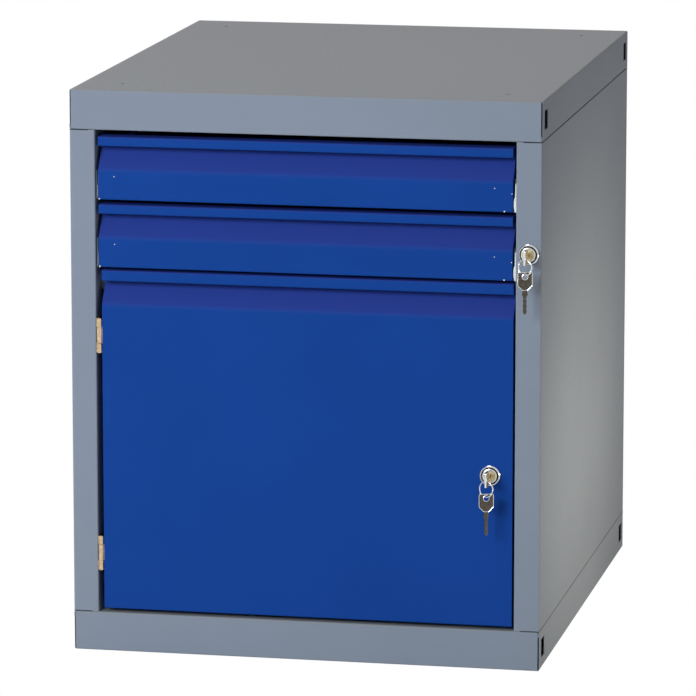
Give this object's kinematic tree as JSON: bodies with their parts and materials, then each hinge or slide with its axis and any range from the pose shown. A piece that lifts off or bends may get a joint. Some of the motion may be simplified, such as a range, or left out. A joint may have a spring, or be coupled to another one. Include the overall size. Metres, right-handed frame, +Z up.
{
  "type": "tool cabinet with doors",
  "caption": "Low sheet-steel tool cabinet with shallow drawers on roller runners above a cupboard with a hinged door, and cam locks with keys.",
  "frame": {"origin": "on the floor, under the middle of the whole outline, keys included: the front face of the cabinet is 286 mm in front of it and the back 314 mm behind it", "axes": "+Z up, -Y out of the front, +X to the right as seen from the front"},
  "size_m": [0.5, 0.628, 0.6],
  "materials": {
    "carcass_paint": "textured powder coat, blue grey",
    "front_paint": "powder coat, gloss blue",
    "runner_paint": "white epoxy coat",
    "zinc_steel": "zinc plated",
    "nylon": "white nylon",
    "hinge_metal": "brass plated, matt",
    "lock_chrome": "polished chrome plate",
    "plug_brass": "brushed brass",
    "key_nickel": "nickel plated",
    "buffer_rubber": "black, matt"
  },
  "bodies": {
    "cabinet": {"top_pan": "carcass_paint", "bottom_pan": "carcass_paint", "left_side_panel": "carcass_paint", "right_side_panel": "carcass_paint", "back_panel": "carcass_paint", "divider_panel": "carcass_paint", "shelf": "carcass_paint", "shelf_clips": "zinc_steel", "drawer_1_cabinet_runners": "runner_paint", "drawer_2_cabinet_runners": "runner_paint", "runner_screws": "zinc_steel", "front_roller_axles": "zinc_steel", "hinge_post_leaves": "hinge_metal", "hinge_pins": "hinge_metal", "door_buffers": "buffer_rubber", "drawer_lock_body": "lock_chrome", "drawer_lock_nut": "zinc_steel"},
    "drawer_1": {"drawer_1_front": "front_paint", "drawer_1_box": "front_paint", "drawer_1_slides": "runner_paint", "drawer_1_catch": "zinc_steel", "drawer_1_rear_axles": "zinc_steel"},
    "drawer_2": {"drawer_2_front": "front_paint", "drawer_2_box": "front_paint", "drawer_2_slides": "runner_paint", "drawer_2_catch": "zinc_steel", "drawer_2_rear_axles": "zinc_steel"},
    "drawer_1_front_roller_pair": {"drawer_1_front_rollers": "nylon"},
    "drawer_2_front_roller_pair": {"drawer_2_front_rollers": "nylon"},
    "drawer_1_rear_roller_pair": {"drawer_1_rear_rollers": "nylon"},
    "drawer_2_rear_roller_pair": {"drawer_2_rear_rollers": "nylon"},
    "door": {"door_skin": "front_paint", "door_stiffener": "front_paint", "hinge_door_leaves": "hinge_metal", "door_lock_body": "lock_chrome", "door_lock_nut": "zinc_steel"},
    "door_lock": {"door_lock_plug": "plug_brass", "door_lock_cam": "zinc_steel", "door_cam_screw": "zinc_steel", "door_key": "key_nickel"},
    "door_ring": {"door_key_ring": "key_nickel"},
    "door_spare": {"door_spare_key": "key_nickel"},
    "drawer_lock": {"drawer_lock_plug": "plug_brass", "drawer_lock_cam": "zinc_steel", "drawer_cam_screw": "zinc_steel", "drawer_key": "key_nickel"},
    "drawer_ring": {"drawer_key_ring": "key_nickel"},
    "drawer_spare": {"drawer_spare_key": "key_nickel"},
    "locking_bar": {"lock_bar": "zinc_steel"}
  },
  "joints": [
    {"name": "drawer_1_slide", "type": "slide", "parent": "cabinet", "child": "drawer_1", "axis": [0, -1, 0], "range_m": [0, 0.41]},
    {"name": "drawer_1_front_roller_spin", "type": "hinge", "parent": "cabinet", "child": "drawer_1_front_roller_pair", "pos_m": [0, -0.262, 0.4927], "axis": [1, 0, 0], "continuous": true},
    {"name": "drawer_1_rear_roller_spin", "type": "hinge", "parent": "drawer_1", "child": "drawer_1_rear_roller_pair", "pos_m": [0, 0.254, 0.492], "axis": [1, 0, 0], "continuous": true},
    {"name": "drawer_2_slide", "type": "slide", "parent": "cabinet", "child": "drawer_2", "axis": [0, -1, 0], "range_m": [0, 0.41]},
    {"name": "drawer_2_front_roller_spin", "type": "hinge", "parent": "cabinet", "child": "drawer_2_front_roller_pair", "pos_m": [0, -0.262, 0.4211], "axis": [1, 0, 0], "continuous": true},
    {"name": "drawer_2_rear_roller_spin", "type": "hinge", "parent": "drawer_2", "child": "drawer_2_rear_roller_pair", "pos_m": [0, 0.254, 0.4204], "axis": [1, 0, 0], "continuous": true},
    {"name": "door_hinge", "type": "hinge", "parent": "cabinet", "child": "door", "pos_m": [-0.21985, -0.286, 0.22795], "axis": [0, 0, -1], "range_deg": [0, 170]},
    {"name": "door_lock_turn", "type": "hinge", "parent": "door", "child": "door_lock", "pos_m": [0.1973, -0.286, 0.2072], "axis": [0, -1, 0], "range_deg": [0, 90]},
    {"name": "drawer_lock_turn", "type": "hinge", "parent": "cabinet", "child": "drawer_lock", "pos_m": [0.2365, -0.286, 0.4414], "axis": [0, -1, 0], "range_deg": [0, 90]},
    {"name": "lock_bar_slide", "type": "slide", "parent": "cabinet", "child": "locking_bar", "axis": [0, 0, 1], "range_m": [0, 0.0086]},
    {"name": "door_ring_swing", "type": "hinge", "parent": "door_lock", "child": "door_ring", "pos_m": [0.1973, -0.3094, 0.2055], "axis": [1, 0, 0], "range_deg": [-15, 10]},
    {"name": "door_spare_key_swing", "type": "hinge", "parent": "door_ring", "child": "door_spare", "pos_m": [0.1973, -0.3094, 0.1891], "axis": [0.9063, -0.4226, 0], "range_deg": [-15, 12]},
    {"name": "drawer_ring_swing", "type": "hinge", "parent": "drawer_lock", "child": "drawer_ring", "pos_m": [0.2365, -0.3094, 0.4397], "axis": [1, 0, 0], "range_deg": [-15, 10]},
    {"name": "drawer_spare_key_swing", "type": "hinge", "parent": "drawer_ring", "child": "drawer_spare", "pos_m": [0.2365, -0.3094, 0.4233], "axis": [0.9063, -0.4226, 0], "range_deg": [-15, 12]}
  ],
  "couplings": [
    {"joint": "drawer_1_front_roller_spin", "follows": "drawer_1_slide", "rad_per_m": 125},
    {"joint": "drawer_1_rear_roller_spin", "follows": "drawer_1_slide", "rad_per_m": 125},
    {"joint": "drawer_2_front_roller_spin", "follows": "drawer_2_slide", "rad_per_m": 125},
    {"joint": "drawer_2_rear_roller_spin", "follows": "drawer_2_slide", "rad_per_m": 125},
    {"joint": "lock_bar_slide", "follows": "drawer_lock_turn", "m_per_rad": 0.0054019}
  ]
}
